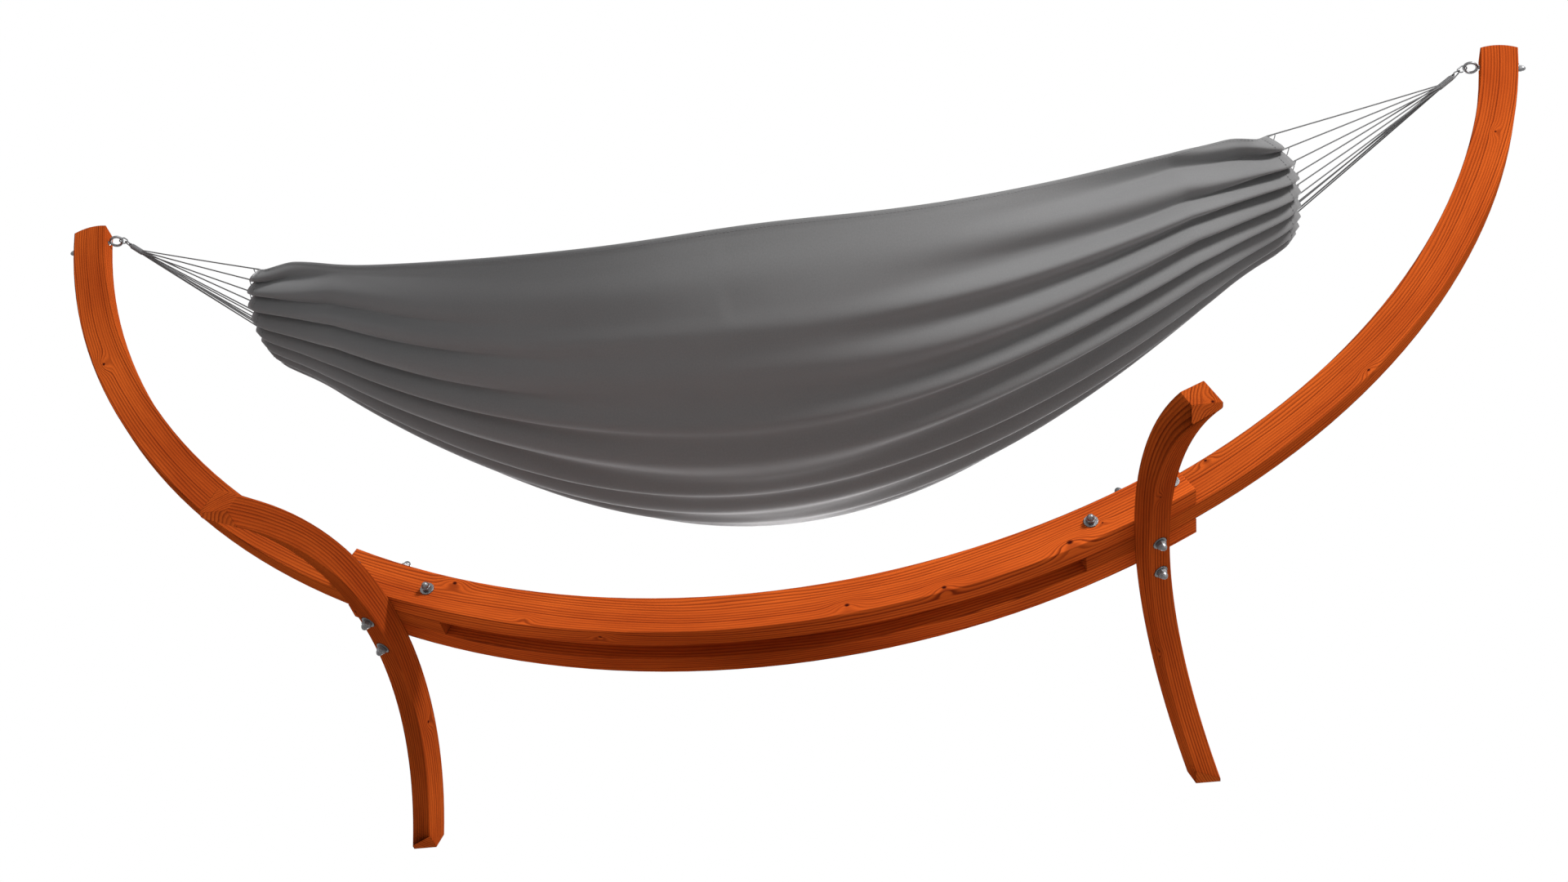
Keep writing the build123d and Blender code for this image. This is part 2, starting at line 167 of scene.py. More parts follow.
# %% The floor's finish
fade_start, fade_end = 2.6, 5.6
floor_material, tree = start_material("pale_floor")
floor_paint = add_node(tree, "ShaderNodeBsdfDiffuse", {"Color": (0.68, 0.68, 0.675, 1)})
floor_clear = add_node(tree, "ShaderNodeBsdfTransparent")
floor_side = add_node(tree, "ShaderNodeNewGeometry")
floor_place = add_node(tree, "ShaderNodeTexCoord").outputs["Object"]
floor_fade = add_node(tree, "ShaderNodeMapRange", {
    "Value": vector_calc(tree, "LENGTH", floor_place), "From Min": fade_start, "From Max": fade_end,
}, interpolation_type="SMOOTHSTEP").outputs[0]
floor_mix = add_node(tree, "ShaderNodeMixShader", {
    0: calc(tree, "MAXIMUM", floor_side.outputs["Backfacing"], floor_fade),
    1: floor_paint.outputs[0], 2: floor_clear.outputs[0],
})
add_node(tree, "ShaderNodeOutputMaterial", {"Surface": floor_mix.outputs[0]})
print("floor fades between", fade_start, "and", fade_end, "m")

# %% [markdown]
# A whole plane would cover the sawn undersides of the feet. So the floor is one flat polygon with a hole
# right under each foot, a little inside its edge, and the hole's outline is read from the leg itself.

# %% The floor
floor_half = 6
hole_share = 0.98
ground_touch = 1e-4


def foot_print(node_name, side):
    """The outline of one foot on the ground, a little inside its edge."""
    leg_points = [vertex.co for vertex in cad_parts[node_name].data.vertices]
    places = [p for p in leg_points if p.z < ground_touch and p.y * side > 0]
    middle = sum(places, Vector()) / len(places)
    ordered = sorted(places, key=lambda p: math.atan2(p.y - middle.y, p.x - middle.x))
    return [middle + (p - middle) * hole_share for p in ordered]


edge = [Vector((x, y, 0)) * floor_half for x, y in ((-1, -1), (1, -1), (1, 1), (-1, 1))]
holes = [foot_print(name, side) for name in ("left_leg", "right_leg") for side in (-1, 1)]
floor_corners = [point for outline in [edge] + holes for point in outline]
triangles = []
for a, b, c in tessellate_polygon([edge] + holes):
    first_side = floor_corners[b] - floor_corners[a]
    second_side = floor_corners[c] - floor_corners[a]
    triangles.append((a, b, c) if first_side.cross(second_side).z > 0 else (a, c, b))
floor_mesh = bpy.data.meshes.new("floor")
floor_mesh.from_pydata([tuple(point) for point in floor_corners], [], triangles)
floor = bpy.data.objects.new("floor", floor_mesh)
floor_mesh.materials.append(floor_material)
bpy.context.scene.collection.objects.link(floor)
print("floor:", len(triangles), "triangles round", len(holes), "feet")

# %% [markdown]
# The world is the white background of the picture. As a light, full white would wash out every shadow,
# so it is white only where the camera, a gloss or glass sees it, and a soft grey as a light.

# %% The world
world = bpy.data.worlds.new("studio")
world.use_nodes = True
bpy.context.scene.world = world
tree = world.node_tree
tree.nodes.clear()
ray = add_node(tree, "ShaderNodeLightPath").outputs
seen = calc(tree, "MAXIMUM", ray["Is Camera Ray"], ray["Is Transmission Ray"])
seen = calc(tree, "MAXIMUM", seen, ray["Is Glossy Ray"])
sky_colour = mix_colour(tree, seen, (0.245, 0.25, 0.262, 1), (1, 1, 1, 1))
sky = add_node(tree, "ShaderNodeBackground", {"Color": sky_colour, "Strength": 1.0})
add_node(tree, "ShaderNodeOutputWorld", {"Surface": sky.outputs[0]})
bpy.context.scene.view_settings.view_transform = "Standard"
print("world:", world.name)

# %% [markdown]
# Six soft lamps do the rest. The key shines from the front right, with a weak fill from the left, one
# from above and one from the back. One below the floor lights the sawn feet, and one low at the back
# lights the underside of the cloth. Wide discs are used because small lamps make hard shadows.

# %% The lamps
def soft_lamp(name, place, target, width, watts):
    lamp_data = bpy.data.lights.new(name, "AREA")
    lamp_data.shape = "DISK"
    lamp_data.size = width
    lamp_data.energy = watts
    lamp = bpy.data.objects.new(name, lamp_data)
    lamp.location = place
    aim = Vector(target) - Vector(place)
    lamp.rotation_euler = aim.to_track_quat("-Z", "Y").to_euler()
    bpy.context.scene.collection.objects.link(lamp)


lamps = (
    ("key_lamp", (6.0, -6.4, 3.6), (0.2, 0, 0.6), 2.0, 1230),
    ("fill_lamp", (-3.2, -6.0, 1.0), (-0.4, 0, 0.5), 2.6, 45),
    ("top_lamp", (0.5, 1.2, 4.6), (0, 0, 0.6), 3.0, 55),
    ("back_lamp", (-0.3, 7.0, 3.0), (0, 0, 0.5), 2.4, 560),
    ("foot_lamp", (0.4, -2.4, -3.2), (0, 0, 0), 2.0, 150),
    ("low_lamp", (0.2, 3.8, 0.08), (0, 0, 0.4), 1.2, 90),
)
for lamp_row in lamps:
    soft_lamp(*lamp_row)
print("lamps:", len(lamps))

# %% [markdown]
# ## Timber
# The boards are stained softwood, bent to arcs, with fine grain that follows the bend, darker late wood,
# and a few small knots. A flat wood pattern would cut straight across the arc. So the tree first turns
# Object coordinates into the board's own: the distance along the arc, across it and out from its centre.
# In those, a log is a set of rings round a pith that lies outside the board, so faces and sawn ends both
# get the right marks.

# %% The board's own coordinates
def length_of(tree, first, second):
    """The long side of a right-angled triangle."""
    squares = [calc(tree, "MULTIPLY", value, value) for value in (first, second)]
    return calc(tree, "SQRT", calc(tree, "ADD", *squares))


def board_coordinates(tree, centre, axes, radius):
    place = add_node(tree, "ShaderNodeTexCoord").outputs["Object"]
    local = vector_calc(tree, "SUBTRACT", place, centre)
    along, out, across = (vector_calc(tree, "DOT_PRODUCT", local, axis) for axis in axes)
    travel = calc(tree, "MULTIPLY", calc(tree, "ARCTAN2", along, out), radius)
    depth = calc(tree, "SUBTRACT", length_of(tree, along, out), radius)
    return travel, across, depth


def grain_noise(tree, board, stretch, squeeze, seed, detail=2.0, roughness=0.5):
    """Noise that is long in the direction of the grain and narrow across it."""
    travel, across, depth = board
    place = add_node(tree, "ShaderNodeCombineXYZ", {
        "X": calc(tree, "MULTIPLY_ADD", travel, stretch, seed),
        "Y": calc(tree, "MULTIPLY", across, squeeze),
        "Z": calc(tree, "MULTIPLY", depth, squeeze),
    }).outputs[0]
    return noise(tree, place, 1.0, detail, roughness)


print("helpers for board coordinates are ready")

# %% [markdown]
# A knot pushes the growth rings aside and has a small dark core. Each knot is a place on the board and a
# radius, so the same few nodes can be added once for every knot that a board has.

# %% Growth rings and knots
slow_wander, quick_wander = 0.036, 0.0026
ring_pitch = 0.0047
knot_push = 3.0


def knot_distance(tree, place, knot, long_scale, wide_scale):
    """Distance from a knot, counted in lengths and widths of the knot."""
    size = knot[3]
    scale = (1 / (long_scale * size), 1 / (wide_scale * size), 1 / (wide_scale * size))
    off = vector_calc(tree, "SUBTRACT", place, knot[:3])
    return vector_calc(tree, "LENGTH", vector_calc(tree, "MULTIPLY", off, scale))


def growth_rings(tree, board, pith, seed, knots):
    """The number of rings out from the pith, and the share of knot core."""
    travel, across, depth = board
    rings = length_of(
        tree, calc(tree, "SUBTRACT", across, pith[0]), calc(tree, "SUBTRACT", depth, pith[1]))
    slow = grain_noise(tree, board, 1.3, 6.0, seed)
    quick = grain_noise(tree, board, 6.0, 60.0, seed + 5.0)
    rings = calc(tree, "MULTIPLY_ADD", slow, slow_wander, rings)
    rings = calc(tree, "MULTIPLY_ADD", quick, quick_wander, rings)
    place = add_node(tree, "ShaderNodeCombineXYZ", {"X": travel, "Y": across, "Z": depth}).outputs[0]
    core_share = 0.0
    for knot in knots:
        spread = knot_distance(tree, place, knot, 6.5, 3.2)
        fall = calc(tree, "MULTIPLY", calc(tree, "MULTIPLY", spread, spread), -1.0)
        push = calc(tree, "EXPONENT", fall)
        rings = calc(tree, "MULTIPLY_ADD", push, knot_push * knot[3], rings)
        near = knot_distance(tree, place, knot, 1.25, 0.9)
        core = calc(tree, "MULTIPLY_ADD", near, -1.6, 1.75, clamp=True)
        core_share = calc(tree, "MAXIMUM", core_share, core)
    return calc(tree, "MULTIPLY", rings, 1 / ring_pitch), core_share


print("ring pitch:", ring_pitch, "m")

# %% [markdown]
# In each ring the wood darkens slowly towards the late wood and then ends at once. No two rings are
# equally dark, so each ring draws its strength from its own number. Fibres and clouds of stain lie over
# the rings. The stain is matt, so it has no gloss at all.

# %% The timber finish
deep_stain, bright_stain = (0.40, 0.059, 0.0090), (0.63, 0.115, 0.0165)
late_stain, fibre_stain = (0.115, 0.0135, 0.0040), (0.17, 0.020, 0.0050)
knot_colour = (0.040, 0.005, 0.003, 1)
late_start, late_end = 0.2, 0.85
ring_contrast, ring_base = 0.58, 0.34
streak_strength = 0.40


def late_wood(tree, count):
    """The share of late wood, and how dark that ring is."""
    turn = calc(tree, "FRACT", count)
    number = calc(tree, "FLOOR", count)
    draw = add_node(tree, "ShaderNodeTexWhiteNoise", {"W": number}, noise_dimensions="1D")
    darkening = add_node(tree, "ShaderNodeMapRange", {
        "Value": turn, "From Min": late_start, "From Max": late_end, "To Min": 0.0, "To Max": 1.0,
    }, interpolation_type="SMOOTHSTEP")
    soft_end = add_node(tree, "ShaderNodeMapRange", {
        "Value": turn, "From Min": late_end, "From Max": 1.0, "To Min": 1.0, "To Max": 0.0,
    }, interpolation_type="SMOOTHSTEP")
    share = calc(tree, "MULTIPLY", darkening.outputs[0], soft_end.outputs[0])
    return share, calc(tree, "MULTIPLY_ADD", draw.outputs["Value"], ring_contrast, ring_base)


def timber(name, centre, axes, radius, pith, seed, knots, tone_and_shade=1.0):
    material, tree = start_material(name)
    board = board_coordinates(tree, centre, axes, radius)
    count, core_share = growth_rings(tree, board, pith, seed, knots)
    late_share, strength = late_wood(tree, count)
    fibre = grain_noise(tree, board, 14.0, 620.0, seed + 9.0, 2.0, 0.6)
    cloud = grain_noise(tree, board, 2.6, 14.0, seed + 13.0, 3.0)
    cloud = calc(tree, "MULTIPLY_ADD", cloud, 2.0, -0.5, clamp=True)
    # The whole stain is scaled by one factor per board: partly the board's own tone, partly painted shade
    # for how light falls on that board.
    deep, bright, late, streak_colour = (
        (red * tone_and_shade, green * tone_and_shade, blue * tone_and_shade, 1)
        for red, green, blue in (deep_stain, bright_stain, late_stain, fibre_stain))
    colour = mix_colour(tree, cloud, deep, bright)
    colour = mix_colour(tree, calc(tree, "MULTIPLY", late_share, strength), colour, late)
    streak = calc(tree, "MULTIPLY_ADD", fibre, 2.2, -0.85, clamp=True)
    streak = calc(tree, "MULTIPLY", streak, streak_strength)
    colour = mix_colour(tree, streak, colour, streak_colour)
    colour = mix_colour(tree, core_share, colour, knot_colour)
    rough = calc(tree, "MULTIPLY_ADD", fibre, 0.22, 0.58)
    height = calc(
        tree, "ADD", calc(tree, "MULTIPLY", late_share, 0.5), calc(tree, "MULTIPLY", fibre, 0.6))
    surface = {"Base Color": colour, "Roughness": rough, "Specular IOR Level": 0.0}
    relief = finish_material(tree, surface, height, 0.30, 0.0005)
    ease_edges(tree, relief, 0.0028)
    return material


print("stain, from deep to bright:", deep_stain, bright_stain)

# %% [markdown]
# Each board has its own log, so pith, seed and knots differ from board to board. Arms and beams share the
# centre of the bow. A leg bends in its own leaning plane, so it has its own centre and axes. A knot is
# written as its place along, across and out, and its radius.

# %% Arms and beams
bow_height, bow_radius = 1.786, 1.719
bow_centre = (0.0, 0.0, bow_height)
bow_axes = ((1, 0, 0), (0, 0, -1), (0, 1, 0))
front_beam_knots = (
    (0.180, -0.0675, 0.020, 0.0046), (0.3605, -0.0675, 0.030, 0.0046),
    (0.6074, -0.0675, 0.0245, 0.0062), (0.6806, -0.0675, 0.0127, 0.0022),
    (-0.614, -0.0675, -0.0275, 0.0046), (-0.4394, -0.070, 0.025, 0.0030),
    (-0.2882, -0.0493, 0.040, 0.0036),
)
back_beam_knots = ((-0.35, 0.0675, 0.012, 0.0046), (0.45, 0.0675, -0.02, 0.005))
left_arm_knots = ((-1.8604, -0.0225, 0.016, 0.0046), (-1.25, 0.0225, -0.02, 0.004))
right_arm_knots = (
    (1.3296, -0.0225, 0.032, 0.0036), (2.0771, -0.0225, 0.007, 0.0030),
    (0.944, -0.0225, -0.033, 0.0034),
)


def bow_timber(name, pith, seed, knots, tone_and_shade):
    return timber(name, bow_centre, bow_axes, bow_radius, pith, seed, knots, tone_and_shade)


# The last number darkens each board's stain: partly its own tone, partly painted shade for the light that
# board gets.
board_finishes = {
    "front_beam": bow_timber("beam_front_timber", (-0.16, -0.11), 2.0, front_beam_knots, 0.96),
    "back_beam": bow_timber("beam_back_timber", (0.17, -0.12), 31.0, back_beam_knots, 1.0),
    "left_arm": bow_timber("arm_left_timber", (-0.12, 0.13), 47.0, left_arm_knots, 0.78),
    "right_arm": bow_timber("arm_right_timber", (-0.13, -0.12), 63.0, right_arm_knots, 0.72),
}
print("finishes for", ", ".join(board_finishes))

# %% [markdown]
# The legs lean with the bow, each under the end of the beams. The centre of a leg's arch lies below its
# seat on the bow, so it is found from the seat and the direction in which the leg stands.

# %% Legs, and all boards dressed
leg_angle = math.radians(25.08)
leg_seat_radius = 1.759
leg_arch_radius = 1.091
leg_centre_drop = 1.118 - 0.002
# The legs' stain is darkened: partly their own tone, partly painted shade for the light they get.
leg_tone_and_shade = 0.70
leg_knots = {
    "left_leg": ((-0.076, 0.0183, -0.026, 0.0040), (0.30, -0.0225, 0.004, 0.0036)),
    "right_leg": (
        (-0.2138, -0.0066, -0.026, 0.0030), (-0.633, 0.0098, -0.0115, 0.0040),
        (0.2752, -0.0225, -0.0173, 0.0030)),
}
for side, name in ((-1, "left_leg"), (1, "right_leg")):
    leg_up = Vector((-side * math.sin(leg_angle), 0, math.cos(leg_angle)))
    leg_through = Vector((side * math.cos(leg_angle), 0, math.sin(leg_angle)))
    seat = Vector(bow_centre) - leg_up * leg_seat_radius
    leg_centre = seat - leg_up * leg_centre_drop
    leg_axes = ((0, 1, 0), tuple(leg_up), tuple(leg_through))
    board_finishes[name] = timber(
        f"{name}_timber", tuple(leg_centre), leg_axes, leg_arch_radius,
        (0.10 * side, -0.10), 80.0 + 9 * side, leg_knots[name], leg_tone_and_shade)


def dress(node_name, material):
    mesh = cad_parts[node_name].data
    mesh.materials.clear()
    mesh.materials.append(material)


for name, material in board_finishes.items():
    dress(name, material)
print("timber on", ", ".join(board_finishes))

# %% [markdown]
# ## Zinc-plated steel
# Bolts, nuts, washers and rings are plated steel: grey, a little cloudy, and duller than bare metal. A
# plain metal shader would look polished. A clouded roughness does most of the work, with a fine bump for
# the plating.

# %% The plated steel finish
def plated_steel(name, grey, scale, eased_radius):
    material, tree = start_material(name)
    place = add_node(tree, "ShaderNodeTexCoord").outputs["Object"]
    cloud = noise(tree, place, 90 * scale, 3.0)
    grain = noise(tree, place, 700 * scale, 2.0)
    dull = (grey * 0.72, grey * 0.73, grey * 0.76, 1)
    bright = (grey * 1.2, grey * 1.2, grey * 1.22, 1)
    colour = mix_colour(tree, cloud, dull, bright)
    rough = calc(tree, "MULTIPLY_ADD", cloud, 0.26, 0.36)
    surface = {"Base Color": colour, "Metallic": 1.0, "Roughness": rough}
    relief = finish_material(tree, surface, grain, 0.18, 0.0002)
    ease_edges(tree, relief, eased_radius)
    return material


bolt_steel = plated_steel("bolt_zinc", 0.20, 1.0, 0.0018)
ring_steel = plated_steel("ring_zinc", 0.13, 1.4, 0.0009)
bolt_nodes = (
    "clamp_bolts", "clamp_head_washers", "clamp_nut_washers", "clamp_nuts",
    "leg_bolts", "leg_head_washers", "leg_washers", "leg_nuts", "eye_bolts", "eye_washers", "eye_nuts",
)
for name in bolt_nodes:
    dress(name, bolt_steel)
print("plated steel on", len(bolt_nodes), "nodes")

# %% [markdown]
# ## The cloth
# The hammock is one sheet of charcoal canvas, 1.06 m wide, hung by both ends. Its ends are gathered into
# ten pleats that lean over each other like roof tiles, and the pleats open into long soft folds that fade
# towards the middle. A cloth simulation from flat would find folds of its own; here they follow the
# picture, so the sheet is drawn as a rule: a trough, plus pleats that stand on it. The trough is an arc at
# every place along the hammock, wide and low in the middle, narrow and high at the hems.

# %% The trough under the folds
cloth_width, cloth_length = 1.06, 2.62
cloth_half_length = 1.150
middle_hem_reach, corner_hem_reach = 0.020, -0.026
back_corner_trim, left_front_corner = 0.014, 0.012


def blend(middle, hem, curl, station):
    return middle + (hem - middle) * ((1 - curl) * station**2 + curl * station**4)


def on_left(along, left, right):
    """One value on the left half of the hammock, another on the right half."""
    return np.where(along < 0, left, right)


def trough(along, across):
    """Points, outward normals, cross directions and arc lengths; along is -1 to 1, across 0 to 1."""
    station = np.abs(along)
    half_width = blend(0.450, 0.150, -0.61, station)
    rim = blend(0.687, 1.093, -0.44, station)
    bottom = blend(0.482, 1.036, -0.02, station)
    depth = rim - bottom
    radius = (half_width**2 + depth**2) / (2 * depth)
    half_angle = np.arcsin(half_width / radius)
    turn = 2 * across - 1
    angle = turn * half_angle
    reach = cloth_half_length + corner_hem_reach
    reach = reach + (middle_hem_reach - corner_hem_reach) * (1 - turn**4)
    reach = reach - back_corner_trim * np.maximum(turn, 0) ** 2
    reach = reach + on_left(along, left_front_corner, 0) * np.maximum(-turn, 0) ** 4
    height = bottom + radius * (1 - np.cos(angle))
    points = np.stack([along * reach, radius * np.sin(angle), height], -1)
    outward = np.stack([np.zeros_like(angle), np.sin(angle), -np.cos(angle)], -1)
    onward = np.stack([np.zeros_like(angle), np.cos(angle), np.sin(angle)], -1)
    return points, outward, onward, 2 * half_angle * radius


middle_arc = trough(np.array(0.0), np.array(0.5))[3]
print("arc of the trough in the middle:", round(float(middle_arc), 3), "m")

# %% [markdown]
# Pleats are counted across the sheet by a phase that grows by one from valley to valley. They drift a
# little on the way in from the hem. How strong each fold is differs from fold to fold and from left to
# right: near the middle the folds fade, first near the front rim, and the lowest ones run through.

# %% Where the folds run and how strong they are
pleat_count = 10
hem_drift, drift_span = 0.6, 0.2
left_folds = (0.12, 0.42, 0.60, 0.52, 0.75, 0.50, 0.80, 0.25, 0, 0, 0)
right_folds = (0.06, 0.18, 0.36, 0.60, 0.80, 0.10, 0.80, 0.10, 0, 0, 0)
fade_places = (0, 0.1, 0.2, 0.3, 0.4)
left_fade = (0.92, 0.55, 0.30, 0.25, 0.0)
right_fade = (0.55, 0.25, 0.10, 0.05, 0.0)


def ease(low, high, value):
    share = np.clip((value - low) / (high - low), 0, 1)
    return share * share * (3 - 2 * share)


def pleat_phase(along, across):
    station = np.abs(along)
    wander = 0.10 * np.sin(5.0 * along + 9.0 * across) + 0.06 * np.sin(31 * across)
    phase = pleat_count * across + hem_drift * np.minimum((1 - station) / drift_span, 1)
    return phase + (1 - station**6) * wander


def fold_share(along, across, valley):
    """How much of its full height a fold has: all of it at the hems, less towards the middle."""
    left_strength = np.interp(valley, np.arange(len(left_folds)), left_folds)
    right_strength = np.interp(valley, np.arange(len(right_folds)), right_folds)
    through = left_strength + (right_strength - left_strength) * ease(-0.25, 0.25, along)
    fade_at = on_left(
        along, np.interp(across, fade_places, left_fade), np.interp(across, fade_places, right_fade))
    share = through + (1 - through) * ease(fade_at - 0.05, fade_at + 0.35, np.abs(along))
    return share * on_left(along, 0.60 + 0.40 * ease(0.12, 0.35, across), 1)


print("folds:", len(left_folds), "strengths on each side")

# %% [markdown]
# The section of a pleat is a soft wave in the middle and a row of arches with sharp valleys at the hems.
# The front rim doesn't follow the plain trough: it stands up in some places and drops at the left hem.

# %% The section of a pleat and the front rim
rim_band = 0.16
left_rim_flat, right_rim_flat = 0.95, 0.78
left_rim_drop = 0.010
hem_start = 0.90


def bump(middle, width, value):
    return np.exp(-(((value - middle) / width) ** 2))


def pleat_swell(along, phase):
    """From 0 in a valley to 1 on a crest."""
    soft = 0.5 - 0.5 * np.cos(2 * np.pi * phase)
    arches = np.abs(np.sin(np.pi * phase))
    rounded = soft ** (1.2 - 0.75 * ease(0.15, 0.60, -along))
    return rounded + (arches - rounded) * 0.7 * ease(0.55, 0.95, np.abs(along))


def rim_lift(along, across):
    station = np.abs(along)
    lift = 0.004 + 0.034 * bump(0.90, 0.30, along)
    lift = lift + 0.015 * bump(0.06, 0.20, along) + 0.015 * bump(-0.90, 0.10, along)
    lift = lift * (1 - on_left(along, left_rim_flat, right_rim_flat) * ease(0.91, 1.0, station))
    lift = lift - on_left(along, left_rim_drop, 0) * ease(hem_start, 1.0, station)
    return lift * (1 - ease(0.0, rim_band, across))


print("front rim stands up by up to", round(float(rim_lift(np.linspace(-1, 1, 201), 0.0).max()), 3), "m")

# %% [markdown]
# The height of a pleat follows from the sheet: where the trough is narrower than the cloth, the spare
# width has to go up and down. A short table of wave slopes against wave lengths turns spare width into
# pleat height, held between two limits so that the pleats stay like those in the picture. Crests lean
# over their neighbours and stand out past the hem, which gives the hem its scallops.

# %% The folded cloth
low_pleat, high_pleat = 0.008, 0.019
scallop, scallop_growth = 0.014, 0.008
hem_tuck = 0.012
dent_depth = 0.012
long_steps, cross_steps = 200, 200
slopes = np.linspace(0, 9, 400)
wave = np.linspace(0, 2 * np.pi, 400)
stretch = np.array([np.mean(np.sqrt(1 + (slope * np.cos(wave)) ** 2)) for slope in slopes])


def folded_cloth(along, across):
    points, outward, onward, arc = trough(along, across)
    station = np.abs(along)
    pitch = arc / pleat_count
    slope = np.interp(np.maximum(cloth_width / arc, 1.0), stretch, slopes)
    height = np.clip(slope * pitch / (2 * np.pi), low_pleat, high_pleat)
    phase = pleat_phase(along, across)
    share = fold_share(along, across, phase - 1)
    phase = np.maximum(phase, 0.5 * ease(0.0, 0.06, 1 - station))
    swell = pleat_swell(along, phase)
    inset = 1.9 - 0.9 * ease(0.86, 1.0, station)
    lean = (0.02 + 0.26 * ease(0.60, 1.0, station)) * pitch
    moved = points + outward * (height * share * (2 * swell - inset))[..., None]
    moved = moved + onward * (lean * share * (swell - 0.5))[..., None]
    hem_step = (scallop + scallop_growth * across) * (swell - 0.6)
    moved[..., 0] += np.sign(along) * ease(hem_start, 1.0, station) * hem_step
    moved = moved - outward * (hem_tuck * ease(0.97, 1.0, station) ** 2 * swell)[..., None]
    moved[..., 2] += rim_lift(along, across)
    dent = dent_depth * bump(0.05, 0.5, along) * bump(0.32, 0.06, across - 0.08 * along)
    return moved - outward * dent[..., None]


along, across = np.meshgrid(
    np.linspace(-1, 1, long_steps + 1), np.linspace(0, 1, cross_steps + 1), indexing="ij")
cloth_points = folded_cloth(along, across)
flat_points = cloth_points.reshape(-1, 3)
print("cloth box:", flat_points.min(0).round(3), flat_points.max(0).round(3))

# %% [markdown]
# The points become one mesh with a UV map in metres of the flat sheet, so that weave and stitches follow
# the cloth. A map unwrapped from the folded shape would bend the yarns instead.

# %% From a grid of points to a piece
def grid_mesh(name, points, uv):
    rows, columns = points.shape[:2]
    index = np.arange(rows * columns).reshape(rows, columns)
    corners = [index[:-1, :-1], index[:-1, 1:], index[1:, 1:], index[1:, :-1]]
    quads = np.stack(corners, -1).reshape(-1, 4)
    mesh = bpy.data.meshes.new(name)
    mesh.from_pydata(points.reshape(-1, 3).tolist(), [], quads.tolist())
    layer = mesh.uv_layers.new(name="flat_sheet")
    layer.data.foreach_set("uv", uv.reshape(-1, 2)[quads.ravel()].astype(np.float32).ravel())
    mesh.polygons.foreach_set("use_smooth", np.ones(len(mesh.polygons), bool))
    mesh.update()
    return mesh


def link_piece(name, mesh, material):
    piece = bpy.data.objects.new(name, mesh)
    mesh.materials.append(material)
    bpy.context.scene.collection.objects.link(piece)
    return piece


flat_uv = np.stack([across * cloth_width, along * cloth_length / 2], -1)
print("flat sheet:", cloth_width, "by", cloth_length, "m")

# %% [markdown]
# Canvas is a plain weave of charcoal yarn. The weave is a pair of crossed waves on the flat-sheet map, and
# sheen gives the pale edge that woven cloth shows where it turns away.

# %% The canvas finish
yarn_pitch = 0.0016
shaded_canvas, plain_canvas = (0.087, 0.086, 0.086, 1), (0.106, 0.105, 0.105, 1)
pale_yarn = (0.168, 0.167, 0.167, 1)


def canvas(name):
    material, tree = start_material(name)
    uv = add_node(tree, "ShaderNodeUVMap", uv_map="flat_sheet").outputs[0]
    parts = add_node(tree, "ShaderNodeSeparateXYZ", {0: uv})
    yarn = 2 * math.pi / yarn_pitch
    warp = calc(tree, "SINE", calc(tree, "MULTIPLY", parts.outputs["X"], yarn))
    weft = calc(tree, "SINE", calc(tree, "MULTIPLY", parts.outputs["Y"], yarn))
    weave = calc(tree, "MULTIPLY_ADD", calc(tree, "MULTIPLY", warp, weft), 0.5, 0.5)
    slub = noise(tree, uv, 260.0, 3.0, 0.6)
    cloud = noise(tree, uv, 5.0, 2.0)
    share = calc(tree, "MULTIPLY_ADD", slub, 0.5, calc(tree, "MULTIPLY", weave, 0.35), clamp=True)
    dark = mix_colour(tree, cloud, shaded_canvas, plain_canvas)
    colour = mix_colour(tree, share, dark, pale_yarn)
    height = calc(tree, "MULTIPLY_ADD", weave, 0.6, calc(tree, "MULTIPLY", slub, 0.5))
    finish_material(tree, {
        "Base Color": colour, "Roughness": 0.85, "Specular IOR Level": 0.2,
        "Sheen Weight": 0.35, "Sheen Roughness": 0.4, "Sheen Tint": (0.9, 0.9, 0.92, 1),
    }, height, 0.35, 0.0005)
    return material


canvas_finish = canvas("charcoal_canvas")
print("canvas with a yarn every", yarn_pitch, "m")

# %% [markdown]
# The edges of the sheet are turned over and sewn, so they are twice as thick as the rest. Solidify gives
# the sheet its thickness, and a vertex group tells it where the hems are.

# %% The sheet
hem_width, rim_width = 0.024, 0.012
hem_thickness = 0.0032
cloth = link_piece("hammock_cloth", grid_mesh("hammock_cloth", cloth_points, flat_uv), canvas_finish)
hem_gap = (1 - np.abs(along)) * cloth_length / 2 / hem_width
rim_gap = np.minimum(across, 1 - across) * cloth_width / rim_width
edge_gap = np.minimum(hem_gap, rim_gap).ravel()
hemmed = cloth.vertex_groups.new(name="hems")
hemmed.add(np.flatnonzero(edge_gap <= 1).tolist(), 1.0, "REPLACE")
hemmed.add(np.flatnonzero(edge_gap > 1).tolist(), 0.5, "REPLACE")
cloth_wall = cloth.modifiers.new("canvas_thickness", "SOLIDIFY")
cloth_wall.thickness = hem_thickness
cloth_wall.offset = 0.0
cloth_wall.vertex_group = hemmed.name
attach(cloth, "hammock")
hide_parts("cloth")
print("cloth faces:", len(cloth.data.polygons))

# %% [markdown]
# ## Cords and bindings
# The cords are twisted from grey yarn. At this size the twist is only a change of shade along the cord,
# so a fine noise and a little sheen are enough. Bindings and sewing thread use the same finish in other
# shades.

# %% The cord finish
def twisted_cord(name, dark, pale):
    material, tree = start_material(name)
    place = add_node(tree, "ShaderNodeTexCoord").outputs["Object"]
    strand = noise(tree, place, 900.0, 2.0)
    cloud = noise(tree, place, 60.0, 2.0)
    dark_strand = (dark, dark, dark * 1.03, 1)
    pale_strand = (pale, pale, pale * 1.02, 1)
    worn = (dark * 1.5, dark * 1.5, dark * 1.5, 1)
    colour = mix_colour(tree, strand, dark_strand, pale_strand)
    colour = mix_colour(tree, calc(tree, "MULTIPLY", cloud, 0.4), colour, worn)
    surface = {"Base Color": colour, "Roughness": 0.8, "Sheen Weight": 0.25}
    finish_material(tree, surface, strand, 0.5, 0.0004)
    return material


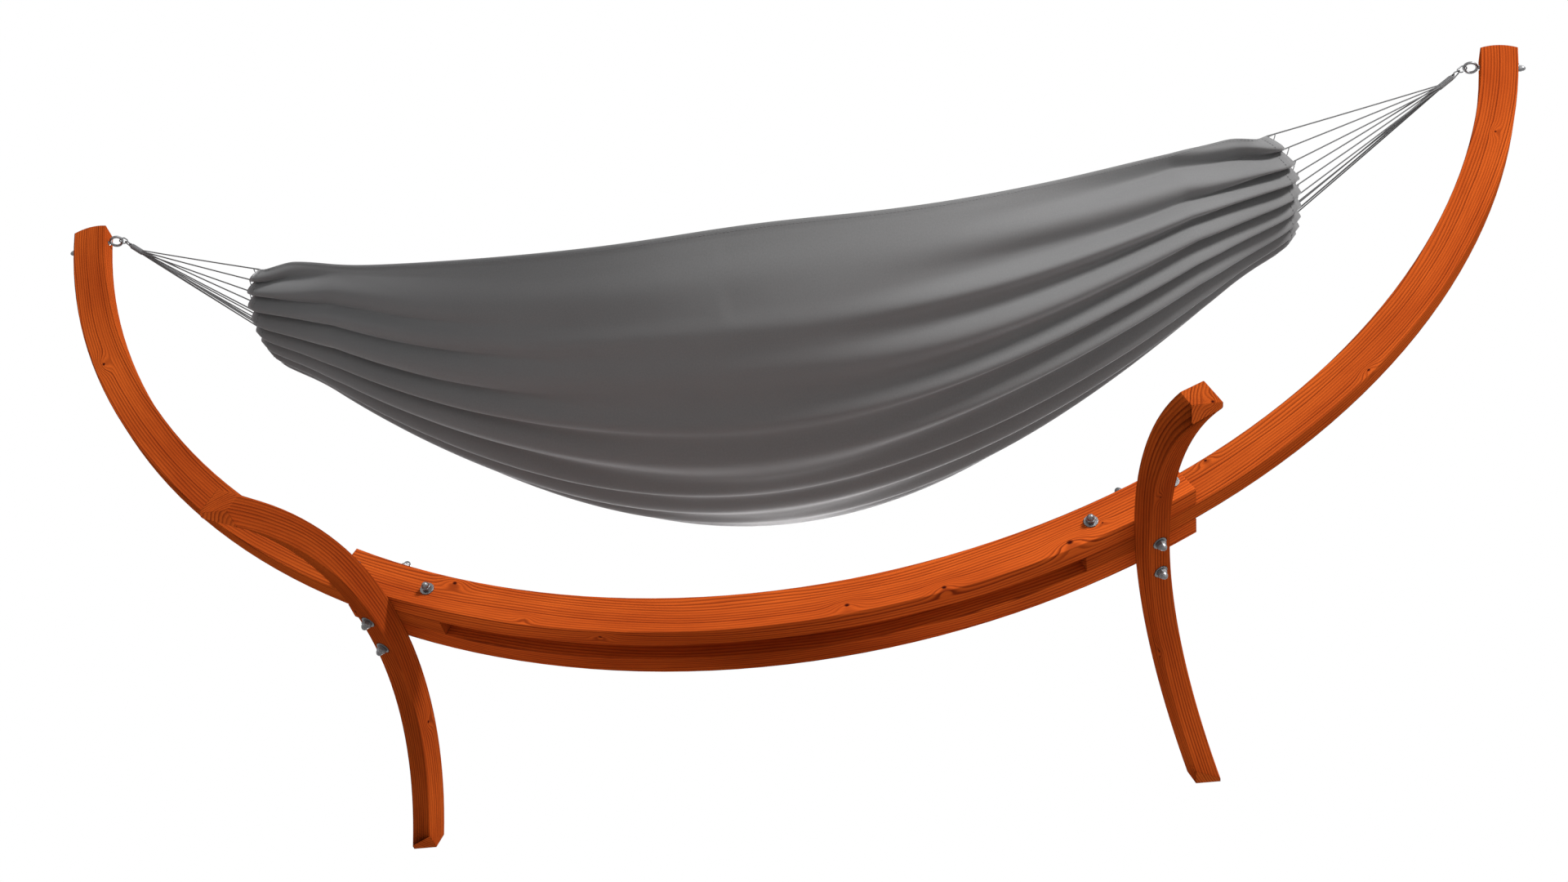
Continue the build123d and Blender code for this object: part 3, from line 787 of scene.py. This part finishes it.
cord_finish = twisted_cord("grey_cord", 0.035, 0.110)
print("cord finish:", cord_finish.name)

# %% [markdown]
# Everything between an eye bolt and the cloth hangs in one line of pull. It starts at the middle of the
# eye ring's bar and slopes down to the hem. Places along this line are measured from the bar, on the right
# side, and mirrored for the left.

# %% The line of pull
bar = Vector((1.604413, 0, 1.421486))
pull_angle = math.radians(40.6)
pull = Vector((-math.cos(pull_angle), 0, -math.sin(pull_angle)))
pull_side = Vector((math.sin(pull_angle), 0, -math.cos(pull_angle)))


def mirrored(point, side):
    return Vector((point[0] * side, point[1], point[2]))


def on_cloth(along_place, across_place):
    points = folded_cloth(np.array([[along_place]]), np.array([[across_place]]))
    return Vector(points[0, 0])


print("line of pull:", tuple(round(x, 3) for x in pull))

# %% [markdown]
# Eleven cords fan from the binding under each hanging ring to the hem. A cord that is held at both ends
# and pulled is nearly straight. Each is one smooth curve with a round section and hardly any sag, and it
# ends in the valley between two pleats.

# %% One taut cord
cord_count = 11
cord_diameter = 0.0032
cord_sag = 0.002


def taut_cord(name, start, end):
    curve = bpy.data.curves.new(name, "CURVE")
    curve.dimensions = "3D"
    curve.bevel_depth = cord_diameter / 2
    curve.bevel_resolution = 3
    curve.use_fill_caps = True
    spline = curve.splines.new("NURBS")
    middle = (start + end) / 2 + Vector((0, 0, -cord_sag))
    spline.points.add(2)
    for point, place in zip(spline.points, (start, middle, end)):
        point.co = (*place, 1)
    spline.order_u = 3
    spline.use_endpoint_u = True
    spline.resolution_u = 12
    return link_piece(name, curve, cord_finish)


print("cords:", cord_count, "on each side,", cord_diameter, "m thick")

# %% [markdown]
# At the binding the cords lie in three rows, side by side. At the hem each cord splits into a small loop,
# so the two feet of the loop are noted here for a later step.

# %% The fans of cords
sleeve_end = 0.088
bundle_half_width, bundle_row_gap = 0.005, 0.0026
loop_length, loop_spread = 0.026, 0.022
loop_station, loop_margin = 0.996, 0.004
cord_lengths, hem_loop_lines = [], []
for side, side_name in ((-1, "left"), (1, "right")):
    for index in range(cord_count):
        share = index / (cord_count - 1)
        row = index % 3 - 1
        start = bar + pull * sleeve_end + pull_side * (row * bundle_row_gap)
        start = mirrored(start + Vector((0, (2 * share - 1) * bundle_half_width, 0)), side)
        end = on_cloth(side * 1.0, share)
        cord = taut_cord(f"{side_name}_cord_{index + 1}", start, end)
        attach(cord, "hammock")
        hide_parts(f"{side_name}_cords")
        length = (end - start).length
        cord_lengths.append(length)
        split = end + (start - end).normalized() * loop_length
        for step in (-loop_spread, loop_spread):
            foot = on_cloth(side * loop_station, np.clip(share + step, loop_margin, 1 - loop_margin))
            hem_loop_lines.append([tuple(split), tuple(foot)])
print(len(cord_lengths), "cords,", round(min(cord_lengths), 3), "to", round(max(cord_lengths), 3), "m")

# %% [markdown]
# ## Trees that follow a line
# Loops, stitches and bindings all repeat or follow a path, which is what Geometry Nodes are for. Each tree
# has named inputs for its sizes. A source mesh of plain edges says where the lines run, and the result is
# turned into a plain mesh, so nothing depends on a live modifier.

# %% Geometry Nodes helpers
def start_tree(name, **kinds):
    tree = bpy.data.node_groups.new(name, "GeometryNodeTree")
    tree.interface.new_socket(name="Geometry", in_out="INPUT", socket_type="NodeSocketGeometry")
    tree.interface.new_socket(name="Geometry", in_out="OUTPUT", socket_type="NodeSocketGeometry")
    for input_name, kind in kinds.items():
        tree.interface.new_socket(name=input_name, in_out="INPUT", socket_type="NodeSocket" + kind)
    tree.interface.new_socket(name="finish", in_out="INPUT", socket_type="NodeSocketMaterial")
    return tree, tree.nodes.new("NodeGroupInput").outputs


def tube(tree, curve, radius, sides):
    """A round strand along a curve."""
    section = add_node(tree, "GeometryNodeCurvePrimitiveCircle", {"Resolution": sides, "Radius": radius})
    return add_node(tree, "GeometryNodeCurveToMesh", {
        "Curve": curve, "Profile Curve": section.outputs[0], "Fill Caps": True}).outputs[0]


def join(tree, first, second):
    node = add_node(tree, "GeometryNodeJoinGeometry", {0: first})
    tree.links.new(second, node.inputs[0])
    return node.outputs[0]


def end_tree(tree, geometry, given):
    smooth = add_node(tree, "GeometryNodeSetShadeSmooth", {"Geometry": geometry}).outputs[0]
    real = add_node(tree, "GeometryNodeRealizeInstances", {"Geometry": smooth}).outputs[0]
    sockets = {"Geometry": real, "Material": given["finish"]}
    dressed = add_node(tree, "GeometryNodeSetMaterial", sockets).outputs[0]
    add_node(tree, "NodeGroupOutput", {0: dressed})


print("helpers for Geometry Nodes are ready")

# %% [markdown]
# A tree is used in three steps: draw its source lines, set its inputs on a modifier, and keep the mesh
# that comes out.

# %% From lines to a piece
def line_mesh(name, lines, closed=False):
    mesh = bpy.data.meshes.new(name)
    points = [point for line in lines for point in line]
    edges, first = [], 0
    for line in lines:
        edges += [(first + step, first + step + 1) for step in range(len(line) - 1)]
        if closed:
            edges.append((first + len(line) - 1, first))
        first += len(line)
    mesh.from_pydata(points, edges, [])
    return mesh


def grow(name, source, tree, **sizes):
    piece = bpy.data.objects.new(name, source)
    bpy.context.scene.collection.objects.link(piece)
    modifier = piece.modifiers.new(tree.name, "NODES")
    modifier.node_group = tree
    for socket in tree.interface.items_tree:
        if socket.in_out == "INPUT" and socket.name in sizes:
            modifier[socket.identifier] = sizes[socket.name]
    evaluated = piece.evaluated_get(bpy.context.evaluated_depsgraph_get())
    mesh = bpy.data.meshes.new_from_object(evaluated)
    piece.modifiers.remove(modifier)
    piece.data = mesh
    mesh.name = name
    print(name, "has", len(mesh.polygons), "faces")
    return piece


print("helpers for lines and grown pieces are ready")

# %% [markdown]
# ## Hem loops
# Each cord is tied to the hem by a small loop, so it splits in two just before the cloth. The lines of the
# loops were noted with the cords; a tree turns every edge into a thin round strand.

# %% Hem loops
loop_radius = 0.0011
strand_tree, given = start_tree("strands_along_edges", strand_radius="Float")
strand_path = add_node(strand_tree, "GeometryNodeMeshToCurve", {"Mesh": given["Geometry"]})
end_tree(strand_tree, tube(strand_tree, strand_path.outputs[0], given["strand_radius"], 12), given)
loops = grow(
    "hem_loops", line_mesh("hem_loop_lines", hem_loop_lines), strand_tree,
    strand_radius=loop_radius, finish=cord_finish)
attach(loops, "hammock")

# %% [markdown]
# ## Links and delta rings
# An oval link hangs in each eye bolt and holds a delta ring, a triangle of the same wire with round
# corners. Both are closed loops of round wire, so the tree for strands makes them too. The link is wide
# enough to lean over with the hammock without biting into the eye.

# %% Wire loops
def corner(centre, radius, first_turn, last_turn, steps=9):
    turns = np.radians(np.linspace(first_turn, last_turn, steps))
    return [(centre[0] + radius * math.cos(t), centre[1] + radius * math.sin(t)) for t in turns]


def on_pull(path, sideways, side):
    return [tuple(mirrored(bar + pull * a + sideways * b, side)) for a, b in path]


wire_radius = 0.0015
link_start, link_end, link_half = 0.0012, 0.0183, 0.0070
link_path = corner((link_start, 0), link_half, 90, 270, 17)
link_path += corner((link_end - link_half, 0), link_half, -90, 90, 17)
delta_base, delta_half, delta_tip, delta_round = 0.0335, 0.0051, 0.01874, 0.0035
delta_rise, delta_run = 0.010, 0.029
delta_lean = math.degrees(math.atan2(delta_rise, delta_run))
delta_path = corner((delta_base, -delta_half), delta_round, -90 - delta_lean, 0)
delta_path += corner((delta_base, delta_half), delta_round, 0, 90 + delta_lean)
delta_path += corner((delta_tip, 0), delta_round, 90 + delta_lean, 270 - delta_lean)
wire_loops = (("links", link_path, pull_side), ("delta_rings", delta_path, Vector((0, 1, 0))))
for name, path, sideways in wire_loops:
    outlines = [on_pull(path, sideways, side) for side in (-1, 1)]
    wires = grow(
        f"round_{name}", line_mesh(f"{name}_lines", outlines, closed=True), strand_tree,
        strand_radius=wire_radius, finish=ring_steel)
    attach(wires, "hammock")
    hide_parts(name)

# %% [markdown]
# ## Bindings
# Where the cords come together they are whipped: one strand is wound round the bundle, turn against turn.
# A spiral curve with a round section is exactly that, over a plain core. The same spiral, turned half way
# round the stand, makes the other side.

# %% Whipped bindings
binding_tree, given = start_tree(
    "whipped_binding", turns="Float", length="Float", bundle_radius="Float", strand_radius="Float",
    place="Vector", turn="Vector")
spiral = add_node(binding_tree, "GeometryNodeCurveSpiral", {
    "Resolution": 20, "Rotations": given["turns"], "Start Radius": given["bundle_radius"],
    "End Radius": given["bundle_radius"], "Height": given["length"]})
wound = tube(binding_tree, spiral.outputs[0], given["strand_radius"], 8)
core_end = add_node(binding_tree, "ShaderNodeCombineXYZ", {"Z": given["length"]})
core_line = add_node(binding_tree, "GeometryNodeCurvePrimitiveLine", {"End": core_end.outputs[0]})
bundle_core = tube(binding_tree, core_line.outputs[0], given["bundle_radius"], 20)
right_side = add_node(binding_tree, "GeometryNodeTransform", {
    "Geometry": join(binding_tree, wound, bundle_core),
    "Translation": given["place"], "Rotation": given["turn"]}).outputs[0]
left_side = add_node(binding_tree, "GeometryNodeTransform", {
    "Geometry": right_side, "Rotation": (0, 0, math.pi)}).outputs[0]
end_tree(binding_tree, join(binding_tree, right_side, left_side), given)
binding_start, binding_length = 0.0445, 0.0435
binding_finish = twisted_cord("binding_cord", 0.060, 0.150)
bindings = grow(
    "sleeve_bindings", line_mesh("binding_source", [[(0, 0, 0), (0, 0, 0.001)]]), binding_tree,
    turns=15.0, length=binding_length, bundle_radius=0.0053, strand_radius=0.0015,
    place=bar + pull * binding_start, turn=pull.to_track_quat("Z", "Y").to_euler(),
    finish=binding_finish)
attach(bindings, "hammock")
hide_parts("sleeves")

# %% [markdown]
# Out of the top of each binding comes a flat strap that goes round the base of the delta ring and back.
# It is a narrow band along a hairpin path, drawn as a grid and thickened.

# %% Neck straps
strap_half_width, strap_thickness = 0.0045, 0.0010
strap_flat_length = 0.03
strap_top, strap_leg = 0.0370, 0.0105
strap_radius, strap_foot_spread = 0.0023, 0.0012
leg_share = 0.35


def hairpin(share):
    """Distance along the pull and to the side on the strap's path, for shares from 0 to 1."""
    turn = np.clip((share - leg_share) / (1 - 2 * leg_share), 0, 1) * np.pi
    leg = np.clip(np.minimum(share, 1 - share) / leg_share, 0, 1)
    spread = strap_radius + strap_foot_spread * (1 - leg)
    down = strap_top + strap_leg * (1 - leg) - strap_radius * np.sin(turn)
    return down, spread * np.cos(turn)


strap_share, strap_across = np.meshgrid(np.linspace(0, 1, 49), np.linspace(-1, 1, 7), indexing="ij")
strap_down, strap_side = hairpin(strap_share)
strap_width = strap_across * strap_half_width
strap_rows = (
    np.array(bar) + strap_down[..., None] * np.array(pull) + strap_side[..., None] * np.array(pull_side)
    + strap_width[..., None] * np.array((0, 1, 0)))
strap_uv = np.stack([strap_width, strap_share * strap_flat_length], -1)
for side, side_name in ((-1, "left"), (1, "right")):
    strap_name = f"{side_name}_neck_strap"
    strap_mesh = grid_mesh(strap_name, strap_rows * np.array((side, side, 1)), strap_uv)
    strap = link_piece(strap_name, strap_mesh, binding_finish)
    strap_wall = strap.modifiers.new("strap_thickness", "SOLIDIFY")
    strap_wall.thickness = strap_thickness
    strap_wall.offset = 0.0
    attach(strap, "hammock")
    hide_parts("sleeves")
    print(strap_name, "has", len(strap_mesh.polygons), "faces")

# %% [markdown]
# ## Stitches
# Hems and rims are turned over and sewn with one row of stitches. Each stitch is a short thread that shows
# on both sides of the cloth. The rows are lines on the cloth, a little above each of its faces.

# %% Lines for the stitches
stitch_inset, stitch_lift = 0.003, 0.0017
row_points = 401


def cloth_line(line_along, line_across, side):
    """A line on one face of the cloth."""
    step = 1e-3
    here = folded_cloth(line_along, line_across)
    onward_step = folded_cloth(np.clip(line_along - step, -1, 1), line_across) - here
    cross_step = folded_cloth(line_along, np.clip(line_across + step, 0, 1)) - here
    normal = np.cross(onward_step, cross_step)
    normal = normal / np.linalg.norm(normal, axis=-1, keepdims=True)
    return [tuple(point) for point in here + normal * side * stitch_lift]


hem_at = 1 - 2 * (hem_width - stitch_inset) / cloth_length
rim_at = (rim_width - stitch_inset) / cloth_width
hem_row = np.linspace(rim_at, 1 - rim_at, row_points)
rim_row = np.linspace(-hem_at, hem_at, row_points)
stitch_lines = []
for face in (-1, 1):
    for end in (-1, 1):
        stitch_lines.append(cloth_line(np.full(row_points, end * hem_at), hem_row, face))
    for rim in (rim_at, 1 - rim_at):
        stitch_lines.append(cloth_line(rim_row, np.full(row_points, rim), face))
print("rows of stitches:", len(stitch_lines))

# %% [markdown]
# There are far too many stitches to place one by one. A tree sets one small bead every few millimetres
# along the rows, stretches it to a stitch and turns it with the line.

# %% Rows of stitches
stitch_tree, given = start_tree(
    "row_of_stitches", spacing="Float", stitch_length="Float", thread_radius="Float")
row = add_node(stitch_tree, "GeometryNodeMeshToCurve", {"Mesh": given["Geometry"]}).outputs[0]
row = add_node(
    stitch_tree, "GeometryNodeResampleCurve", {"Curve": row, "Length": given["spacing"]}, mode="LENGTH")
bead = add_node(stitch_tree, "GeometryNodeMeshUVSphere", {"Segments": 6, "Rings": 4, "Radius": 0.5})
bead_size = add_node(stitch_tree, "ShaderNodeCombineXYZ", {
    "X": given["stitch_length"], "Y": given["thread_radius"], "Z": given["thread_radius"]})
tangent = add_node(stitch_tree, "GeometryNodeInputTangent").outputs[0]
facing = add_node(stitch_tree, "FunctionNodeAlignRotationToVector", {"Vector": tangent}, axis="X")
sewn = add_node(stitch_tree, "GeometryNodeInstanceOnPoints", {
    "Points": row.outputs[0], "Instance": bead.outputs[0],
    "Rotation": facing.outputs[0], "Scale": bead_size.outputs[0]})
end_tree(stitch_tree, sewn.outputs[0], given)
thread_finish = twisted_cord("sewing_thread", 0.05, 0.14)
stitches = grow(
    "hem_stitches", line_mesh("stitch_lines", stitch_lines), stitch_tree,
    spacing=0.0080, stitch_length=0.0052, thread_radius=0.0012, finish=thread_finish)
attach(stitches, "hammock")
